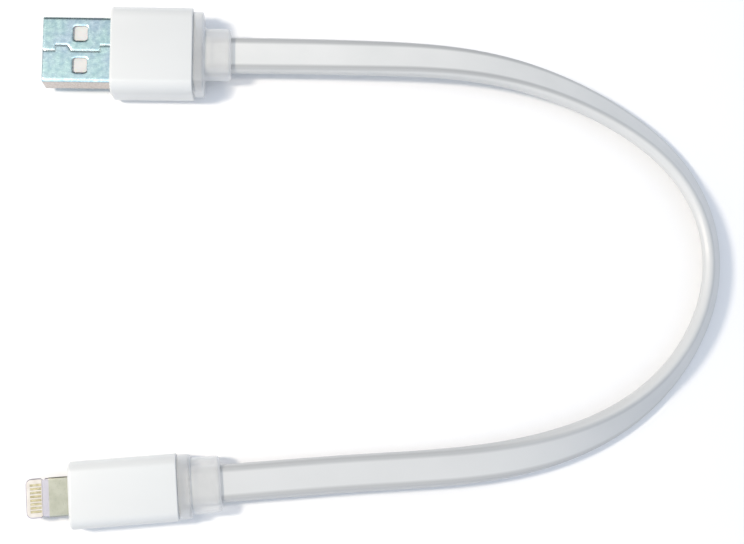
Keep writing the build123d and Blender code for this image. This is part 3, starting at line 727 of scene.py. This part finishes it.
def shell_rims():
    """Seam and window edges of the shell's outer faces, with the width each is rolled over."""
    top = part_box("usb_shell")[1].z
    near = 0.005 * MM
    seam_side, window_side = 1.2 * MM, 4.6 * MM
    window_start, window_end = 5.0 * MM, 8.2 * MM

    def seam(edge):
        return all(abs(v.co.z - top) < near and abs(v.co.y) < seam_side for v in edge.verts)

    def window(edge):
        return all(
            abs(abs(v.co.z) - top) < near
            and seam_side < abs(v.co.y) < window_side
            and window_start < v.co.x < window_end
            for v in edge.verts
        )

    return [(0.15, seam), (0.13, window)]


refined("usb_pressed_shell", "usb_shell", "usb_plug", "shell_steel", wider=shell_rims())
refined("phone_tab_frame", "phone_tab_shell", "phone_plug", "shell_steel", "tab_steel")

# ---------------------------------------------------------------- ribbon


def tube(bm, frames, side, radius, count):
    """Closed round tube of one wire through the frames across its path."""
    turns = [2 * pi * k / count for k in range(count)]
    circle = [Vector((side + radius * cos(turn), radius * sin(turn), 0)) for turn in turns]
    rows = skin(bm, [[at @ point for point in circle] for at in frames])
    bm.faces.new(rows[0])
    bm.faces.new(rows[-1])


def spread(start, end, step):
    """Distances from start to end, about step apart."""
    count = max(int(round((end - start) / step)), 2)
    return [start + (end - start) * k / count for k in range(count + 1)]


def jacket(name, start, end):
    """Hollow length of the ribbon's jacket, with its section's values kept on the points."""
    stations = spread(start, end, JACKET_STEP)
    outer = outline(*RIBBON, JACKET_CORNER_STEPS)
    inner = outline(*TUNNEL, JACKET_CORNER_STEPS)
    bm = bmesh.new()
    frames = [ribbon_frame(distance) for distance in stations]
    skins = []
    for profile in (outer, inner):
        rings = [[at @ Vector((across, up, 0)) for across, up in profile] for at in frames]
        skins.append(skin(bm, rings))
    for end_row in (0, -1):
        outside, inside = skins[0][end_row], skins[1][end_row]
        for k in range(len(outside)):
            j = (k + 1) % len(outside)
            bm.faces.new((outside[k], outside[j], inside[j], inside[k]))
    made = piece(name, bm, "jacket_rubber", sharp=50.0)
    count = len(stations)
    sides = [np.tile([across for across, up in profile], count) for profile in (outer, inner)]
    values = {
        "along": np.tile(np.repeat(stations, len(outer)), 2),
        "across": np.concatenate(sides),
    }
    for key, value in values.items():
        made.data.attributes.new(key, "FLOAT", "POINT").data.foreach_set(
            "value", (value * MM).astype(np.float32)
        )
    normals = []
    for profile, facing in ((outer, 1), (inner, -1)):
        for at in frames:
            turn = at.to_3x3()
            for quarter in range(4):
                for k in range(JACKET_CORNER_STEPS + 1):
                    angle = pi / 2 * (quarter + k / JACKET_CORNER_STEPS)
                    normal = turn @ Vector((cos(angle), sin(angle), 0))
                    normals.append(normal.normalized() * facing)
    made.data.normals_split_custom_set_from_vertices(normals)
    return made


def bundle(name, slot, frames, radius, count):
    """Four wires side by side through the frames."""
    bm = bmesh.new()
    for side in WIRE_SIDES:
        tube(bm, frames, side, radius, count)
    return piece(name, bm, slot, sharp=50.0)


STRANDS = (
    ("wires", "wire_insulation", WIRE_RADIUS, WIRE_POINTS),
    ("conductors", "copper", CONDUCTOR_RADIUS, CONDUCTOR_POINTS),
)
BEND_REACH = 6.8  # reach along the ribbon on each side of the joints beside a plug, and of the next ones in
TWIST_REACH = 7.0


def build_ribbon():
    """Twelve lengths of jacket, wires and conductors, each spanning one joint."""
    places = [joint_distance(joint) for joint in frame["joints"]]
    last = len(places)
    middles = [(a + b) / 2 for a, b in zip(places, places[1:])]
    starts = [-GRIP] + middles
    ends = middles + [LENGTH + GRIP]
    for number, joint in enumerate(frame["joints"], start=1):
        place, start, end = places[number - 1], starts[number - 1], ends[number - 1]
        reach = min(place - start, end - place) - 1.0
        if number in (1, last):
            reach = BEND_REACH
        elif number in (2, last - 1):
            reach = min(reach, TWIST_REACH)
        turn_from = line_at(place - reach) * MM
        turn_to = line_at(place + reach) * MM
        first, final = number == 1, number == last
        made = [jacket(f"ribbon_jacket_{number:02d}", start, end)]
        inside = spread(start - STUB * first, end + STUB * final, STRAND_STEP)
        frames = [ribbon_frame(distance) for distance in inside]
        for kind, slot, radius, count in STRANDS:
            made.append(bundle(f"ribbon_{kind}_{number:02d}", slot, frames, radius, count))
        for thing, node in zip(made, ("cable_jacket", "cable_wires", "cable_conductors")):
            ends_on = [(joint["parent"], turn_from), (joint["child"], turn_to)]
            if joint["name"] == "loop_bend_3":  # its axis is found exactly only from the child
                ends_on.reverse()
            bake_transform(thing)
            if not final:
                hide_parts(f"{node}_{number:02d}")
        if first:
            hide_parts("usb_jacket_end")
        if final:
            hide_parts("phone_jacket_end")
            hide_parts("phone_wire_tails")
            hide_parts("phone_conductor_tails")


build_ribbon()


TAIL_STEPS = 16


def tails(prefix, plug, body, solder, lift, sides, insulation, merge):
    """Wires and conductors inside a plug, from the solder joints to the ribbon's end.

    The conductors start at solder, the insulation further in, and both meet the ribbon's own at
    merge. Sides pair each wire's place at the solder joints with its place in the ribbon.
    """
    for kind, slot, radius, start, count in (
        ("wire_tails", "wire_insulation", WIRE_RADIUS, insulation, WIRE_POINTS),
        ("conductor_tails", "copper", CONDUCTOR_RADIUS, solder, CONDUCTOR_POINTS),
    ):
        bm = bmesh.new()
        for solder_side, ribbon_side in sides:
            a = Vector((insulation, solder_side, lift))
            b = Vector((merge, ribbon_side, 0))
            slope = ALONG * (b - a).length
            path = [hermite(a, b, slope, slope, k / TAIL_STEPS) for k in range(TAIL_STEPS + 1)]
            if start < insulation:
                path = [Vector((start, solder_side, lift))] + path
            frames = []
            for k, point in enumerate(path):
                before, after = path[max(k - 1, 0)], path[min(k + 1, len(path) - 1)]
                heading = (after - before).normalized()
                beside = UP.cross(heading).normalized()
                turn = Matrix((beside, heading.cross(beside), heading)).transposed().to_4x4()
                frames.append(plug @ Matrix.Translation(point) @ turn)
            tube(bm, frames, 0, radius, count)
        made = piece(f"{prefix}_plug_{kind}", bm, slot, sharp=50.0)
        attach(made, body)
        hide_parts(f"{prefix}_{kind}")


tails(
    "usb", USB, "usb_plug", solder=19.1, lift=-0.18,
    sides=((3.5, 1.8), (1.0, 0.6), (-1.0, -0.6), (-3.5, -1.8)),
    insulation=21.0, merge=USB_END - GRIP - STUB,
)
tails(
    "phone", PHONE, "phone_plug", solder=15.0, lift=0.62,
    sides=[(side, side) for side in WIRE_SIDES],
    insulation=16.9, merge=PHONE_END - GRIP - STUB,
)

# ---------------------------------------------------------------- floor, light and camera

TABLE_RADIUS = 1.2  # metres
TABLE_POINTS = 48


def floor():
    """Wide pale round table top, faintly uneven, lifted a little where the lamp's light fades."""
    bm = bmesh.new()
    centre = (cad_low + cad_high) / 2
    rim = []
    for k in range(TABLE_POINTS):
        turn = 2 * pi * k / TABLE_POINTS
        across, ahead = TABLE_RADIUS * cos(turn), TABLE_RADIUS * sin(turn)
        rim.append(bm.verts.new((centre.x + across, centre.y + ahead, TABLE * MM)))
    bm.faces.new(rim)
    mesh = bpy.data.meshes.new("table_top")
    bm.to_mesh(mesh)
    bm.free()
    made = bpy.data.objects.new("table_top", mesh)
    bpy.context.collection.objects.link(made)
    paint = Finish("pale_table", Specular_IOR_Level=0.2)
    cloud = paint.noise(60.0, 2.0)
    tint = paint.mix(paint.span(cloud, 0.3, 0.7), (0.915, 0.915, 0.915), (0.935, 0.935, 0.935))
    paint.set("Base Color", tint)
    paint.set("Roughness", paint.span(paint.noise(8.0, 3.0), 0.3, 0.7, 0.6, 0.75))
    apart = {"operation": "DISTANCE"}
    away = paint.node("VectorMath", "Value", apart, i0=paint.place(), i1=tuple(centre))
    # Painted light: the table glows a little, more the further from its centre, where the lamp's
    # light fades.
    paint.set("Emission Color", (1.0, 1.0, 1.0))
    paint.set("Emission Strength", paint.span(away, 0.15, 0.5, 0.0, 0.4))
    mesh.materials.append(paint.material)
    made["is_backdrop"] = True
    return made


def keep_under(table, pieces):
    """Geometry nodes that keep the table at the pieces' lowest point at any pose."""
    tree = bpy.data.node_groups.new("table_height", "GeometryNodeTree")
    for way in ("INPUT", "OUTPUT"):
        tree.interface.new_socket("Geometry", in_out=way, socket_type="NodeSocketGeometry")
    entry = tree.nodes.new("NodeGroupInput")
    leave = tree.nodes.new("NodeGroupOutput")
    joined = tree.nodes.new("GeometryNodeJoinGeometry")
    for made in pieces:
        info = tree.nodes.new("GeometryNodeObjectInfo")
        info.transform_space = "RELATIVE"
        info.inputs["Object"].default_value = made
        tree.links.new(info.outputs["Geometry"], joined.inputs[0])
    box = tree.nodes.new("GeometryNodeBoundBox")
    tree.links.new(joined.outputs[0], box.inputs[0])
    lowest = tree.nodes.new("ShaderNodeSeparateXYZ")
    tree.links.new(box.outputs["Min"], lowest.inputs[0])
    drop = tree.nodes.new("ShaderNodeMath")
    drop.operation = "SUBTRACT"
    tree.links.new(lowest.outputs["Z"], drop.inputs[0])
    drop.inputs[1].default_value = TABLE * MM
    down = tree.nodes.new("ShaderNodeCombineXYZ")
    tree.links.new(drop.outputs[0], down.inputs["Z"])
    moved = tree.nodes.new("GeometryNodeTransform")
    tree.links.new(entry.outputs[0], moved.inputs["Geometry"])
    tree.links.new(down.outputs[0], moved.inputs["Translation"])
    tree.links.new(moved.outputs[0], leave.inputs[0])
    table.modifiers.new("under_the_cable", "NODES").node_group = tree


def studio_world():
    """Soft bluish surround; mirrored surfaces see a brighter near left and a dim far right."""
    world = bpy.data.worlds.new("soft_studio")
    bpy.context.scene.world = world
    world.use_nodes = True
    world.node_tree.nodes.clear()
    sky = Graph(world.node_tree)
    split = sky.tree.nodes.new("ShaderNodeSeparateXYZ")
    sky.feed(split.inputs[0], sky.node("TexCoord", "Generated"))
    height = sky.span(split.outputs["Z"], 0.0, 0.9)
    tint = sky.mix(height, (0.42, 0.49, 0.63), (0.79, 0.845, 0.93))
    far = sky.span(split.outputs["Y"], 0.34, 0.6, 1.25, 0.08)
    near = sky.span(split.outputs["Y"], 0.1, -0.4, 1.0, 2.1)
    right = sky.span(split.outputs["X"], 0.25, 0.8, 1.0, 0.35)
    mirrored = sky.math("MULTIPLY", sky.math("MULTIPLY", far, near), right)
    glossy = sky.node("LightPath", "Is Glossy Ray")
    level = sky.node("Mix", 0, None, i0=glossy, i2=1.0, i3=mirrored)
    lit = sky.node("VectorMath", 0, {"operation": "SCALE"}, i0=tint, Scale=level)
    seen = sky.node("LightPath", "Is Camera Ray")
    shown = sky.mix(seen, lit, (0.97, 0.97, 0.975))
    back = sky.node("Background", 0, None, Color=shown)
    out = sky.tree.nodes.new("ShaderNodeOutputWorld")
    sky.feed(out.inputs[0], back)


def lamp(name, place, aim, radiance, colour, size, mirrored_only=False):
    """Soft lamp at a place in millimetres facing another; size is its length and width."""
    data = bpy.data.lights.new(name, "AREA")
    data.shape = "ELLIPSE"
    data.size, data.size_y = size[0] * MM, size[1] * MM
    data.energy = radiance * pi * pi / 4 * data.size * data.size_y
    data.color = colour
    made = bpy.data.objects.new(name, data)
    bpy.context.collection.objects.link(made)
    made.location = Vector(place) * MM
    made.rotation_euler = (Vector(aim) - Vector(place)).to_track_quat("-Z", "Y").to_euler()
    made.visible_diffuse = not mirrored_only


SENSOR_WIDTH = 36.0
FIELD_WIDTH = 0.62  # width of the view at a distance of one
CAMERA_PLACE = (43.87, -70.05, 214.56)  # the height is above the table
CAMERA_TURNS = (8.22, -0.42, 3.96)  # degrees of tip, roll and yaw from straight down


def camera():
    """Camera above the object's near half, tipped a little away from straight down."""
    tip, roll, yaw = (radians(turn) for turn in CAMERA_TURNS)
    right = Vector((1, 0, 0))
    ahead = Vector((0, sin(tip), -cos(tip)))
    above = Vector((0, cos(tip), sin(tip)))
    right, above = (
        right * cos(roll) + above * sin(roll),
        above * cos(roll) - right * sin(roll),
    )

    def turned(axis):
        return Vector(
            (
                axis.x * cos(yaw) - axis.z * sin(yaw),
                axis.y,
                axis.x * sin(yaw) + axis.z * cos(yaw),
            )
        )

    right, above, ahead = turned(right), turned(above), turned(ahead)
    data = bpy.data.cameras.new("camera")
    data.sensor_width = SENSOR_WIDTH
    data.lens = SENSOR_WIDTH / FIELD_WIDTH
    data.clip_start = 5 * MM
    made = bpy.data.objects.new("camera", data)
    bpy.context.collection.objects.link(made)
    turn = Matrix((right, above, -ahead)).transposed().to_4x4()
    place = (Vector(CAMERA_PLACE) + UP * TABLE) * MM
    made.matrix_world = Matrix.Translation(place) @ turn
    bpy.context.scene.camera = made


keep_under(floor(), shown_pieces())
studio_world()
lamp(
    "key_lamp", place=(-270, -15, TABLE + 417), aim=(45, -35, TABLE),
    radiance=112.0, colour=(1.0, 0.90, 0.77), size=(80, 80),
)
lamp(
    "ceiling_strip", place=(20, -35, 300), aim=(20, -35, 0),
    radiance=3.5, colour=(0.95, 1.0, 1.0), size=(420, 26), mirrored_only=True,
)
camera()
bpy.context.scene.view_settings.view_transform = "Standard"
